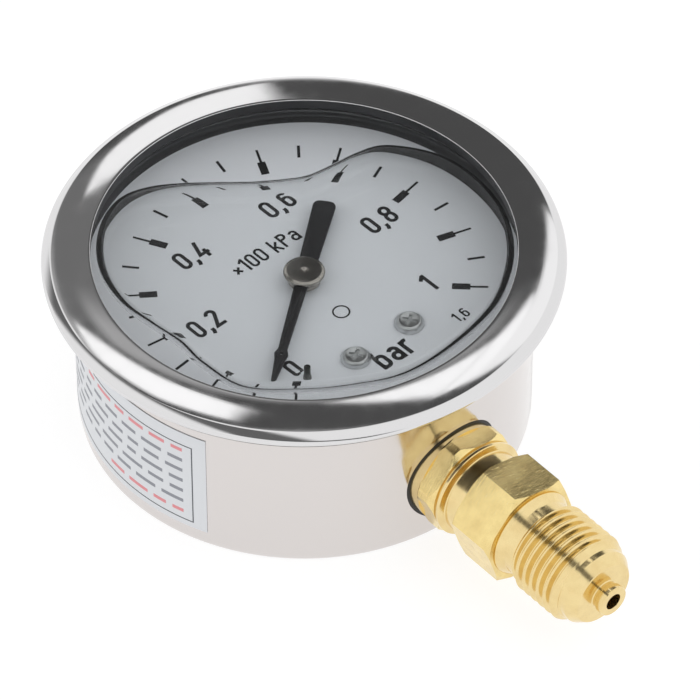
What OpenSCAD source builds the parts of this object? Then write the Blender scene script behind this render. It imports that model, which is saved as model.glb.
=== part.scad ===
// Liquid filled Bourdon tube pressure gauge, nominal size 63, bottom entry.
// The gauge lies on its back: +Z comes out of the dial, +Y is the top of the
// dial and the threaded stem points along -Y. The origin is on the axis of the
// case, at its back face. All lengths are in millimetres.

/* [Case] */
// Outer radius of the case wall
case_r = 31.25; // [30:0.25:32]
// Thickness of the case wall
case_wall = 0.8; // [0.6:0.1:1]
// Thickness of the case back
case_back = 1.0; // [0.8:0.1:1.2]
// Depth of the whole gauge, from the back face to the lip of the bezel
gauge_depth = 29.1; // [28.5:0.1:30]
// Outer radius of the bezel
bezel_r = 35.55; // [35:0.05:36]
// Radius of the opening in the bezel
opening_r = 28.85; // [28:0.05:29.2]

/* [Dial] */
// Height of the printed face of the dial above the back face
dial_z = 21.2; // [21:0.1:21.6]
// Thickness of the dial plate
dial_t = 0.8; // [0.5:0.1:0.8]
// Angle that the dial is turned by, counterclockwise, against the stem
dial_turn = 2.15; // [-3:0.05:3]
// Distance of the two dial screws from the dial centre
dial_screw_r = 16.35; // [16:0.05:17]
// Full sweep of the scale in degrees
scale_sweep = 270; // [270]
// Reading where the pointer rests, as a share of full scale
rest_reading = 0.033; // [0.03:0.001:0.06]

/* [Pointer] */
// Length of the pointer from its axis to the tip
pointer_len = 21.3; // [20:0.1:22]
// Length of the counterweight tail
tail_len = 14.6; // [13:0.1:15]
// Radius of the domed hub cap
hub_r = 2.85; // [2.6:0.05:3]

/* [Process connection] */
// Height of the stem axis above the back face
stem_z = 10.4; // [10:0.1:10.8]
// Width across the flats of the wrench hexagon
hex_af = 14; // [14]
// Turn of the hexagon about the stem axis
hex_turn = 11.9; // [0:0.1:15]
// Major radius of the G 1/4 B thread
thread_r = 6.5785; // [6.5785]
// Pitch of the thread
thread_pitch = 1.337; // [1.337]
// Radius of the pressure port
port_r = 1.2; // [1:0.1:1.3]

/* [Movement] */
// Module of the sector and pinion teeth
gear_module = 0.2; // [0.2]
// Teeth of the pinion
pinion_teeth = 10; // [10]
// Teeth that the sector would have on a full circle
sector_teeth = 100; // [100]
// Radius from the sector axis to the link pin
lever_r = 5.5; // [5:0.1:5.8]
// Mean radius of the Bourdon tube
tube_r = 24.2; // [24:0.1:24.4]

/* [Hidden] */
$fn = 96;
gap = 0.02;

// heights of the window pack, from the lip of the bezel down
window_top = gauge_depth - 1.6;
window_t = 2;
window_z = window_top - window_t;
window_r = case_r - case_wall - 0.25;
flange_t = 0.8;
flange_z = window_top - 1.2;
flange_r = 34.2;
seal_t = 0.4;

// stations along the stem, as distances from the case axis
seal_y = 32.0;
collar_y = 35.0;
neck_y = 36.0;
hex_y = 39.1;
hex_end_y = 46.4;
relief_y = 47.5;
thread_y = 49.2;
thread_turns = 7;
thread_end_y = thread_y + thread_turns * thread_pitch;
collar_end_y = 59.9;
face_y = 60.8;
tip_y = 62.8;
thread_root_r = 5.72;
spigot_r = 2.25;
shoulder_r = 7.3;
wall_hole_r = 7.75;
block_w = 17;
block_h = 10;
block_y = 18.5;
block_end_y = 28;
ledge_y = 10.6;
ledge_z = 8;

// movement levels
plate_t = 1;
back_plate_z = ledge_z;
front_plate_z = 15.5;
sector_z = 10.6;
sector_t = 0.8;
link_z = sector_z + sector_t + 0.2;
link_t = 0.8;
spring_z = 13.4;
centre_distance = gear_module * (pinion_teeth + sector_teeth) / 2;
gear_ratio = sector_teeth / pinion_teeth;
sector_travel = scale_sweep / gear_ratio;
rest_turn = rest_reading * sector_travel - sector_travel / 2;
lever_angle = -90 + rest_turn;
lever_x = lever_r * cos(lever_angle);
lever_y = -centre_distance + lever_r * sin(lever_angle);
tip_angle = -25;
tip_pin_r = 18.2;
tip_pin_x = tip_pin_r * cos(tip_angle);
tip_pin_y = tip_pin_r * sin(tip_angle);
link_angle = atan2(tip_pin_y - lever_y, tip_pin_x - lever_x);
link_len = norm([tip_pin_x - lever_x, tip_pin_y - lever_y]);
lever_travel = 2 * lever_r * sin(sector_travel / 2);
arbor_r = 0.6;
tube_sweep = 278;
tube_end_x = tube_r * cos(tip_angle + tube_sweep);
tube_end_y = tube_r * sin(tip_angle + tube_sweep);
pillar_places = [[-7.4, -13], [7.4, -5.5], [-6.6, 6.8], [6.6, 6.8]];
pillar_r = 1.3;
fixing_places = [[-4.5, -15.5], [4.5, -15.5]];
post_places = [for (s = [-1, 1]) dial_screw_r * [sin(17.4 * s), -cos(17.4)]];

// pointer levels
pointer_t = 0.45;
pointer_z = dial_z + 1.25;
hub_top = dial_z + 2.5;
stop_angle = 228.9;
pointer_angle = 225 - scale_sweep * rest_reading + dial_turn;

// one ring whose section is drawn in the radius and height plane
module ring(outline) {
    rotate_extrude($fn = 180) polygon(outline);
}

// a turned part on the stem axis; x is the radius and y the distance from the case axis
module turned_on_stem(outline) {
    translate([0, 0, stem_z]) rotate([90, 0, 0]) rotate_extrude($fn = 96) polygon(outline);
}

module stem_cylinder(r, y0, y1) {
    translate([0, -y0, stem_z]) rotate([90, 0, 0]) cylinder(r = r, h = y1 - y0);
}

module stem_hexagon(af, y0, y1) {
    translate([0, -y0, stem_z]) rotate([90, 0, 0]) rotate(-hex_turn)
        cylinder(r = af / sqrt(3), h = y1 - y0, $fn = 6);
}

// points of an arc, for turned outlines
function arc(centre, r, a0, a1, n = 8) =
    [for (i = [0 : n]) centre + r * [cos(a0 + (a1 - a0) * i / n), sin(a0 + (a1 - a0) * i / n)]];

module case() {
    corner = 1.5;
    outside = concat([[0, 0]], arc([case_r - corner, corner], corner, -90, 0),
        [[case_r, flange_z], [flange_r, flange_z], [flange_r, flange_z + flange_t]]);
    inside = concat([[case_r - case_wall, flange_z + flange_t]],
        arc([case_r - case_wall - corner, case_back + corner], corner, 0, -90), [[0, case_back]]);
    color("gainsboro") difference() {
        ring(concat(outside, inside));
        stem_cylinder(wall_hole_r, case_r - 4, case_r + 1);
        translate([0, case_r - 3, stem_z]) rotate([-90, 0, 0]) cylinder(r = 4, h = 4);
    }
}

module bezel_ring() {
    rim = 1.3;
    crown = gauge_depth - 0.45;
    bottom = flange_z - 0.55;
    outline = concat(
        [[opening_r, window_top + gap]],
        arc([opening_r + 0.35, gauge_depth - 0.35], 0.35, 180, 90, 4),
        arc([bezel_r - rim, crown - rim], rim, 88, -40),
        [[bezel_r - 1.6, bottom], [case_r + 0.4, bottom], [case_r + 0.4, flange_z - gap],
        [flange_r + gap, flange_z - gap], [flange_r + gap, flange_z + flange_t + seal_t],
        [case_r, flange_z + flange_t + seal_t], [case_r, window_top + gap]]);
    color("lightgray") ring(outline);
}

module bezel_seal() {
    z = flange_z + flange_t;
    color("black") ring([[case_r + 0.3, z], [flange_r, z], [flange_r, z + seal_t],
        [case_r + 0.3, z + seal_t]]);
}

module window() {
    edge = 0.25;
    color("azure", 0.3) ring([[0, window_z], [window_r - edge, window_z], [window_r, window_z + edge],
        [window_r, window_top - edge], [window_r - edge, window_top], [0, window_top]]);
}

module window_gasket() {
    color("black") ring([[29.6, dial_z + gap], [window_r, dial_z + gap], [window_r, window_z - gap],
        [29.6, window_z - gap]]);
}

function thread_crests() = [for (i = [0 : thread_turns - 1], p = [
    [thread_root_r, 0.12], [thread_r, 0.44], [thread_r, 0.56], [thread_root_r, 0.88]])
    [p[0], thread_y + (i + p[1]) * thread_pitch]];

module socket() {
    stem = concat([[0, block_y + 2], [6.2, block_y + 2], [6.2, 28], [shoulder_r, 28],
        [shoulder_r, seal_y], [7.0, seal_y], [7.0, neck_y - 1], [shoulder_r, neck_y - 0.6],
        [shoulder_r, neck_y], [6.3, neck_y + 0.4], [6.3, hex_y + 0.5], [6.35, hex_y + 0.5],
        [6.35, hex_end_y + 0.2], [5.7, relief_y], [5.7, thread_y]],
        thread_crests(),
        [[5.6, thread_end_y + 0.2], [5.6, collar_end_y], [4.6, face_y], [spigot_r, face_y],
        [spigot_r, tip_y - 0.15], [spigot_r - 0.15, tip_y], [0, tip_y]]);
    color("goldenrod") difference() {
        union() {
            turned_on_stem(stem);
            intersection() {
                stem_hexagon(hex_af, hex_y, hex_end_y);
                turned_on_stem([[0, hex_y], [7.3, hex_y], [8.2, hex_y + 0.7],
                    [8.2, hex_end_y - 0.7], [7.3, hex_end_y], [0, hex_end_y]]);
            }
            intersection() {
                stem_hexagon(hex_af, seal_y, collar_y);
                turned_on_stem([[0, seal_y], [7.6, seal_y], [7.8, seal_y + 0.3],
                    [7.8, collar_y - 0.8], [7.1, collar_y], [0, collar_y]]);
            }
            translate([-block_w / 2, -block_end_y, stem_z - block_h / 2])
                cube([block_w, block_end_y - block_y, block_h]);
            translate([-block_w / 2, -block_y - 1, stem_z - block_h / 2])
                cube([block_w, block_y + 1 - ledge_y, ledge_z - stem_z + block_h / 2]);
        }
        stem_cylinder(port_r, block_y + 3, tip_y + 1);
        translate([tube_end_x, tube_end_y, stem_z]) rotate([0, 90, 0]) cylinder(r = 0.8, h = -tube_end_x);
        tube_body(0);
        for (p = fixing_places) translate([p[0], p[1], 5.8]) cylinder(r = 0.8, h = 6);
    }
}

module socket_seal() {
    color("black") difference() {
        intersection() {
            stem_cylinder(wall_hole_r - gap, 28.2, seal_y);
            cylinder(r = case_r + 0.15, h = gauge_depth, $fn = 180);
        }
        stem_cylinder(shoulder_r + gap, 27, 33);
    }
}

module restrictor_screw() {
    color("darkgoldenrod") difference() {
        stem_cylinder(port_r - gap, 44, 48);
        stem_cylinder(0.3, 43, 49);
        translate([-2, -48.5, stem_z - 0.2]) cube([4, 1.1, 0.4]);
    }
}

module fill_plug() {
    color("black") translate([0, 0, stem_z]) rotate([-90, 0, 0]) rotate_extrude()
        polygon([[0, case_r - 3], [4.8, case_r - 3], [4.8, case_r - 1.75], [4 - gap, case_r - 1.6],
            [4 - gap, case_r + 0.35], [4.6, case_r + 0.4], [4.2, case_r + 1.5], [0, case_r + 1.5]]);
}

module side_label() {
    color("white") rotate(117) rotate_extrude(angle = 88, $fn = 180)
        polygon([[case_r + 0.02, 3.1], [case_r + 0.15, 3.1], [case_r + 0.15, 20.7],
            [case_r + 0.02, 20.7]]);
}

module dial() {
    color("silver") rotate(dial_turn) difference() {
        translate([0, 0, dial_z - dial_t]) cylinder(r = window_r - 0.2, h = dial_t, $fn = 180);
        translate([0, 0, dial_z - dial_t - 1]) cylinder(r = 1.6, h = dial_t + 2);
        for (p = post_places) translate([p[0], p[1], dial_z - dial_t - 1])
            cylinder(r = 1.1, h = dial_t + 2);
    }
}

module dial_posts() {
    h = dial_z - dial_t - front_plate_z - plate_t;
    color("goldenrod") rotate(dial_turn) for (p = post_places)
        translate([p[0], p[1], front_plate_z + plate_t]) difference() {
            cylinder(r = 2, h = h);
            translate([0, 0, 0.8]) cylinder(r = 0.9, h = h);
        }
}

// pan head screw with a cross recess, its head resting on z = 0
module pan_screw(head_r, head_h, shank_r, shank_len) {
    difference() {
        union() {
            rotate_extrude($fn = 48) polygon(concat([[0, 0], [head_r, 0], [head_r, head_h * 0.35]],
                arc([head_r * 0.6, head_h * 0.35], head_r * 0.4, 0, 70, 5),
                [[0, head_h]]));
            translate([0, 0, -shank_len]) cylinder(r = shank_r, h = shank_len + 0.1);
        }
        for (a = [0, 90]) rotate(a) translate([-head_r * 0.5, -head_r * 0.12, head_h * 0.45])
            cube([head_r, head_r * 0.24, head_h]);
    }
}

module dial_screws() {
    color("silver") rotate(dial_turn) for (p = post_places)
        translate([p[0], p[1], dial_z]) rotate(30) pan_screw(1.9, 0.95, 0.88, dial_t + 2.4);
}

module stop_pin() {
    color("dimgray") rotate(dial_turn + stop_angle) translate([18.4, 0, dial_z])
        cylinder(r = 0.45, h = pointer_z + 1.2 - dial_z);
}

// outline of both movement plates
module plate_outline() {
    difference() {
        polygon([[-9, -18], [9, -18], [9, -4], [9, 6], [6.5, 9], [-6.5, 9], [-9, 6]]);
        for (p = pillar_places) translate(p) circle(r = 0.6, $fn = 24);
        circle(r = arbor_r + 0.04, $fn = 32);
        translate([0, -centre_distance]) circle(r = arbor_r + 0.04, $fn = 32);
    }
}

module back_plate() {
    color("goldenrod") translate([0, 0, back_plate_z]) difference() {
        linear_extrude(plate_t) plate_outline();
        for (p = fixing_places) translate([p[0], p[1], -1]) cylinder(r = 0.95, h = 4);
    }
}

module front_plate() {
    color("goldenrod") translate([0, 0, front_plate_z]) linear_extrude(plate_t) plate_outline();
}

module plate_pillars() {
    h = front_plate_z - back_plate_z - plate_t;
    color("goldenrod") for (p = pillar_places)
        translate([p[0], p[1], back_plate_z + plate_t]) difference() {
            cylinder(r = pillar_r, h = h);
            translate([0, 0, h - 3]) cylinder(r = 0.55, h = 4);
        }
}

module pillar_screws() {
    color("silver") for (p = pillar_places)
        translate([p[0], p[1], front_plate_z + plate_t]) pan_screw(1.1, 0.8, 0.53, plate_t + 2);
}

module movement_screws() {
    color("silver") for (p = fixing_places)
        translate([p[0], p[1], back_plate_z + plate_t]) pan_screw(1.4, 0.9, 0.78, plate_t + 2);
}

// flattened tube section, swept clockwise from the socket to the tip
module tube_body(shrink) {
    w = 3 - 2 * shrink;
    h = 8 - 2 * shrink;
    translate([0, 0, stem_z]) rotate(tip_angle)
        rotate_extrude(angle = tube_sweep, $fn = 180) translate([tube_r, 0]) {
            square([w, h - w], center = true);
            for (s = [-1, 1]) translate([0, s * (h - w) / 2]) circle(r = w / 2, $fn = 32);
        }
}

module bourdon_tube() {
    color("peru") difference() {
        tube_body(0);
        tube_body(0.35);
    }
}

module tube_tip() {
    color("goldenrod") difference() {
        union() {
            rotate(tip_angle) translate([tube_r - 2, -3, stem_z - 4.5]) cube([4, 3 - gap, 9]);
            translate([0, 0, link_z + link_t + 0.2]) linear_extrude(0.9)
                polygon([for (p = [[tube_r - 1, -2.9], [tube_r - 1, -0.1], [tip_pin_r - 2.4, 3.4],
                    [tip_pin_r - 2.4, -2.4]]) [p[0] * cos(tip_angle) - p[1] * sin(tip_angle),
                    p[0] * sin(tip_angle) + p[1] * cos(tip_angle)]]);
        }
        translate([tip_pin_x, tip_pin_y, stem_z]) {
            for (x = [-0.2, lever_travel]) translate([x, 0, 0]) cylinder(r = 0.75, h = 6);
            translate([-0.2, -0.75, 0]) cube([lever_travel + 0.2, 1.5, 6]);
        }
    }
}

// involute gear tooth flanks with stub teeth
pressure_angle = 28;
function involute_turn(base_r, r) = sqrt(pow(r / base_r, 2) - 1) * 180 / PI - acos(base_r / r);
function tooth(teeth, thin, n = 4) =
    let (pitch_r = gear_module * teeth / 2, base_r = pitch_r * cos(pressure_angle),
        tip_r = pitch_r + 0.8 * gear_module, root_r = pitch_r - 1.15 * gear_module,
        start_r = max(base_r, root_r + 0.01),
        half = 90 / teeth * thin + involute_turn(base_r, pitch_r),
        flank = [for (i = [0 : n]) let (r = start_r + (tip_r - start_r) * i / n)
            [r, half - involute_turn(base_r, r)]])
    concat([[root_r, flank[0][1] + 0.01]], flank, [for (i = [n : -1 : 0]) [flank[i][0], -flank[i][1]]],
        [[root_r, -flank[0][1] - 0.01]]);
function polar(r, a) = [r * cos(a), r * sin(a)];
function gear_points(teeth, first, last, thin) =
    [for (k = [first : last], p = tooth(teeth, thin)) polar(p[0], k * 360 / teeth - p[1])];

module pinion_arbor() {
    color("silver") {
        translate([0, 0, sector_z - 0.4]) linear_extrude(sector_t + 1.2)
            rotate(180 / pinion_teeth - 90 - rest_turn * gear_ratio) polygon(gear_points(pinion_teeth, 0, pinion_teeth - 1, 0.86));
        translate([0, 0, back_plate_z + 0.1])
            cylinder(r = arbor_r, h = pointer_z + 0.75 - back_plate_z, $fn = 32);
    }
}

module pointer() {
    c = pointer_len - 5.9;
    color("black") translate([0, 0, pointer_z]) rotate(pointer_angle) difference() {
        linear_extrude(pointer_t) union() {
            polygon(concat([[0, 1.2], [-tail_len + 1, 1.6]],
                [for (a = [80 : -20 : -80]) [-tail_len + 1 - 1.1 * cos(a), 1.6 * sin(a)]],
                [[-tail_len + 1, -1.6], [0, -1.2]],
                [[2, -0.95], [c - 1.2, -0.7], [c, -1.0], [c + 1.2, -0.6], [pointer_len, -0.3],
                [pointer_len, 0.3], [c + 1.2, 0.6], [c, 1.0], [c - 1.2, 0.7], [2, 0.95]]));
            circle(r = 2.2);
        }
        translate([0, 0, -1]) cylinder(r = arbor_r + 0.01, h = 3, $fn = 32);
        translate([c, 0, -1]) cylinder(r = 0.27, h = 3, $fn = 24);
    }
}

module pointer_hub() {
    top = hub_top - pointer_z - pointer_t;
    color("lightgray") translate([0, 0, pointer_z + pointer_t]) difference() {
        rotate_extrude() polygon(concat([[0, 0], [1.9, 0], [1.9, 0.2], [hub_r, 0.3]],
            arc([hub_r - 0.35, 0.35], 0.35, 0, 80, 4), [[1, top], [0, top]]));
        translate([0, 0, -1]) cylinder(r = arbor_r + 0.01, h = 1.45, $fn = 32);
    }
}

module spring_collet() {
    color("goldenrod") translate([0, 0, spring_z - 0.3]) difference() {
        cylinder(r = 1.25, h = 1.2);
        translate([0, 0, -1]) cylinder(r = arbor_r + 0.01, h = 4, $fn = 32);
    }
}

spring_turns = 4.5;
spring_pitch = 0.62;
spring_in_r = 1.5;
function spiral(a, side) = polar(spring_in_r + spring_pitch * a / 360 + side, a);

module hairspring() {
    steps = 24;
    last = spring_turns * steps;
    color("darkgoldenrod") translate([0, 0, spring_z]) linear_extrude(0.6)
        polygon(concat([for (i = [0 : last]) spiral(i * 360 / steps, 0.09)],
            [for (i = [last : -1 : 0]) spiral(i * 360 / steps, -0.09)]));
}

module spring_stud() {
    end = spiral(spring_turns * 360, 0);
    color("goldenrod") translate([end[0], end[1], spring_z - 0.2]) difference() {
        cylinder(r = 0.45, h = front_plate_z - spring_z + 0.2, $fn = 24);
        translate([-0.17, -1, -1]) cube([0.34, 2, 1.9]);
    }
}

module sector_gear() {
    pitch_r = gear_module * sector_teeth / 2;
    rim_r = pitch_r - 1.15 * gear_module;
    half = 5;
    color("goldenrod") translate([0, -centre_distance, sector_z]) rotate(rest_turn + 90) difference() {
        linear_extrude(sector_t) difference() {
            union() {
                polygon(concat(gear_points(sector_teeth, -half, half, 0.86),
                    [[2, 1.9], [-lever_r, 1.1], [-lever_r - 1.1, 0], [-lever_r, -1.1], [2, -1.9]]));
            }
            circle(r = arbor_r + 0.01, $fn = 32);
            translate([-lever_r, 0]) circle(r = 0.51, $fn = 32);
        }
    }
}

module sector_arbor() {
    color("silver") translate([0, -centre_distance, back_plate_z + 0.1])
        cylinder(r = arbor_r, h = front_plate_z + plate_t - back_plate_z - 0.2, $fn = 32);
}

module link() {
    color("goldenrod") translate([lever_x, lever_y, link_z]) rotate(link_angle) difference() {
        linear_extrude(link_t) difference() {
            union() {
                translate([0, -0.7]) square([link_len, 1.4]);
                for (x = [0, link_len]) translate([x, 0]) circle(r = 1.2);
            }
            for (x = [0, link_len]) translate([x, 0]) circle(r = 0.53, $fn = 32);
        }
    }
}

module link_pin() {
    color("silver") translate([lever_x, lever_y, sector_z - 0.35]) rotate_extrude($fn = 32)
        polygon([[0, 0], [0.85, 0], [0.85, 0.33], [0.5, 0.33], [0.5, 2.2], [0.85, 2.2], [0.85, 2.6],
            [0, 2.6]]);
}

module tip_pin() {
    color("silver") translate([tip_pin_x, tip_pin_y, link_z - 0.4]) rotate_extrude($fn = 32)
        polygon([[0, 0], [0.85, 0], [0.85, 0.38], [0.5, 0.38], [0.5, 2.4], [0, 2.4]]);
}

case();
bezel_ring();
bezel_seal();
window();
window_gasket();
socket();
socket_seal();
restrictor_screw();
fill_plug();
side_label();
dial();
dial_posts();
dial_screws();
stop_pin();
back_plate();
front_plate();
plate_pillars();
pillar_screws();
movement_screws();
bourdon_tube();
tube_tip();
pinion_arbor();
pointer();
pointer_hub();
spring_collet();
hairspring();
spring_stud();
sector_gear();
sector_arbor();
link();
link_pin();
tip_pin();
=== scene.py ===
"""Looks of a liquid filled pressure gauge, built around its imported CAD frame.

The gauge lies on its back: +Z comes out of the dial, +Y is the top of the dial
and the stem points along -Y. Lengths are in millimetres until a mesh is made.
"""

import math

import bmesh
import bpy
import numpy as np
from mathutils import Matrix, Vector


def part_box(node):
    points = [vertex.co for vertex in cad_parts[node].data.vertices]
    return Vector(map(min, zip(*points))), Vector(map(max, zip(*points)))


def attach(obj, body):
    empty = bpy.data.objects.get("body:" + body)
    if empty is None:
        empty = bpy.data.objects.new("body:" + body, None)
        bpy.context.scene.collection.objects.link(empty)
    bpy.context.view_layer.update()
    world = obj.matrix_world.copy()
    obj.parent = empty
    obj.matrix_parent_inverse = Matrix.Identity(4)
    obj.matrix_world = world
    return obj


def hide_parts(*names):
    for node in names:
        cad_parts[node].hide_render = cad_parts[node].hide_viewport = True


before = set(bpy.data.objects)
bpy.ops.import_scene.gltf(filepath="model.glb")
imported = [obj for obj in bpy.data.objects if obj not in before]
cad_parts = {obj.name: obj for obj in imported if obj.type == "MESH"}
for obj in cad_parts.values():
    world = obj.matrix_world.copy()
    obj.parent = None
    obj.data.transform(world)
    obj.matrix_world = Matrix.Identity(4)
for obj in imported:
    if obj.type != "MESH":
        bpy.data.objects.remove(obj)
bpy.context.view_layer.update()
MM = 0.001


def extent(node):
    """Lowest and highest corner of a CAD node, in millimetres."""
    low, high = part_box(node)
    return low / MM, high / MM


# ---------------------------------------------------------------- dimensions
bezel_low, bezel_high = extent("bezel_ring")
window_low, window_high = extent("window")
pointer_low, pointer_high = extent("pointer")
label_low, label_high = extent("side_label")

DEPTH = bezel_high.z
BEZEL_R = bezel_high.x
OPENING_R = 28.85
CASE_R = 31.25
CASE_WALL = 0.8
FLANGE_R = extent("case")[1].x
WINDOW_R = window_high.x
WINDOW_TOP = window_high.z
WINDOW_LOW = window_low.z
GASKET_R = 29.6
DIAL_Z = extent("dial")[1].z
HUB_TOP = extent("pointer_hub")[1].z
STEM_Z = 10.4

# the dial sits turned a little against the stem, with all that is fixed to it
DIAL_TURN = math.radians(2.15)
SCALE_START = math.radians(225)
SCALE_SWEEP = math.radians(270)
REST_READING = 0.033
POINTER_ANGLE = SCALE_START - SCALE_SWEEP * REST_READING + DIAL_TURN
STOP_ANGLE = math.radians(228.9)
STOP_R = 18.4
SCREW_SPREAD = math.radians(17.4)
SCREW_R = 16.35


# ------------------------------------------------------------------- meshes
ARC_STEP = 9  # degrees of turn per segment of a rounded corner


def polar(radius, angle):
    return radius * math.cos(angle), radius * math.sin(angle)


def rounded(corners, closed=True):
    """Outline with arcs: each corner is (x, y, radius of its arc)."""
    points = []
    count = len(corners)
    for i, (x, y, radius) in enumerate(corners):
        here = Vector((x, y))
        if radius <= 0 or (not closed and i in (0, count - 1)):
            points.append((x, y))
            continue
        before = Vector(corners[i - 1][:2]) - here
        after = Vector(corners[(i + 1) % count][:2]) - here
        half = before.angle(after) / 2
        reach = min(radius / math.tan(half), before.length * 0.49, after.length * 0.49)
        radius = reach * math.tan(half)
        centre = here + (before.normalized() + after.normalized()).normalized() * (
            radius / math.sin(half)
        )
        start = here + before.normalized() * reach - centre
        turn = start.angle_signed(here + after.normalized() * reach - centre)
        steps = max(2, round(abs(math.degrees(turn)) / ARC_STEP))
        for k in range(steps + 1):
            a = -turn * k / steps
            x = centre.x + start.x * math.cos(a) - start.y * math.sin(a)
            y = centre.y + start.x * math.sin(a) + start.y * math.cos(a)
            points.append((x, y))
    return points


def finish_mesh(name, mesh_builder, sharp=35.0):
    """Object in metres from a bmesh in millimetres, smooth shaded with sharp edges."""
    bmesh.ops.remove_doubles(mesh_builder, verts=mesh_builder.verts, dist=1e-5)
    bmesh.ops.recalc_face_normals(mesh_builder, faces=mesh_builder.faces)
    bmesh.ops.scale(mesh_builder, vec=(MM, MM, MM), verts=mesh_builder.verts)
    mesh = bpy.data.meshes.new(name)
    mesh_builder.to_mesh(mesh)
    mesh_builder.free()
    for polygon in mesh.polygons:
        polygon.use_smooth = True
    mesh.set_sharp_from_angle(angle=math.radians(sharp))
    piece = bpy.data.objects.new(name, mesh)
    bpy.context.scene.collection.objects.link(piece)
    return piece


def add_grid(builder, rows, wrap_u=True, wrap_v=False):
    """Quads over a table of points. wrap_u closes each row, wrap_v joins last row to first."""
    verts = [[builder.verts.new(p) for p in row] for row in rows]
    row_count, width = len(verts), len(verts[0])
    for i in range(row_count if wrap_v else row_count - 1):
        upper, lower = verts[i], verts[(i + 1) % row_count]
        for j in range(width if wrap_u else width - 1):
            k = (j + 1) % width
            builder.faces.new([upper[j], upper[k], lower[k], lower[j]])
    return verts


def turned(builder, outline, steps=256, start=0.0, sweep=2 * math.pi, closed=True):
    """Revolves an outline of (radius, height) about Z."""
    full = abs(sweep - 2 * math.pi) < 1e-9
    count = steps if full else steps + 1
    angles = [start + sweep * k / steps for k in range(count)]
    rows = [[(r * math.cos(a), r * math.sin(a), z) for a in angles] for r, z in outline]
    return add_grid(builder, rows, wrap_u=full, wrap_v=closed)


def lathe(name, outline, steps=256, closed=True):
    """A turned piece. An outline that isn't closed starts and ends on the axis or in a joint."""
    builder = bmesh.new()
    turned(builder, outline, steps, closed=closed)
    return finish_mesh(name, builder)


def inward(outline, amount):
    """The counter-clockwise outline moved inwards by an amount, point by point."""
    moved = []
    for i, (x, y) in enumerate(outline):
        before, after = outline[i - 1], outline[(i + 1) % len(outline)]
        tangent = Vector((after[0] - before[0], after[1] - before[1])).normalized()
        moved.append((x - tangent.y * amount, y + tangent.x * amount))
    return moved


def plate(name, outline, low, high, bevel):
    """Flat plate between two heights, with a chamfer round its upper edge."""
    builder = bmesh.new()
    rows = [
        [(x, y, low) for x, y in outline],
        [(x, y, high - bevel) for x, y in outline],
        [(x, y, high) for x, y in inward(outline, bevel)],
    ]
    verts = add_grid(builder, rows)
    builder.faces.new(verts[-1])
    builder.faces.new(verts[0])
    return finish_mesh(name, builder)


def onto_stem(piece):
    """Turns a piece made about Z so that its height runs along -Y, on the stem axis."""
    turn = Matrix.Rotation(math.radians(90), 4, "X")
    piece.data.transform(Matrix.Translation((0, 0, STEM_Z * MM)) @ turn)
    return piece


def cut(piece, *cutters):
    """Subtracts the cutters from a piece and removes them."""
    for cutter in cutters:
        modifier = piece.modifiers.new("cut", "BOOLEAN")
        modifier.operation = "DIFFERENCE"
        modifier.solver = "EXACT"
        modifier.object = cutter
    bpy.context.view_layer.update()
    evaluated = piece.evaluated_get(bpy.context.evaluated_depsgraph_get())
    mesh = bpy.data.meshes.new_from_object(evaluated)
    piece.modifiers.clear()
    piece.data = mesh
    for cutter in cutters:
        bpy.data.objects.remove(cutter)
    return piece


def join(name, pieces):
    """One object from several, keeping their materials in the order of the pieces."""
    builder = bmesh.new()
    for index, piece in enumerate(pieces):
        first = len(builder.faces)
        builder.from_mesh(piece.data)
        builder.faces.ensure_lookup_table()
        for face in builder.faces[first:]:
            face.material_index = index
        bpy.data.objects.remove(piece)
    mesh = bpy.data.meshes.new(name)
    builder.to_mesh(mesh)
    builder.free()
    joined = bpy.data.objects.new(name, mesh)
    bpy.context.scene.collection.objects.link(joined)
    return joined


def dress(piece, material_list, body="gauge", stands_for=()):
    """Gives a piece its materials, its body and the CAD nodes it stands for."""
    for material in material_list:
        piece.data.materials.append(material)
    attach(piece, body)
    if stands_for:
        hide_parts(*stands_for)
    return piece


# ---------------------------------------------------------------- materials
ARC_R = 10.0  # radius, in millimetres, at which the textures' arc length is true


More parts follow.
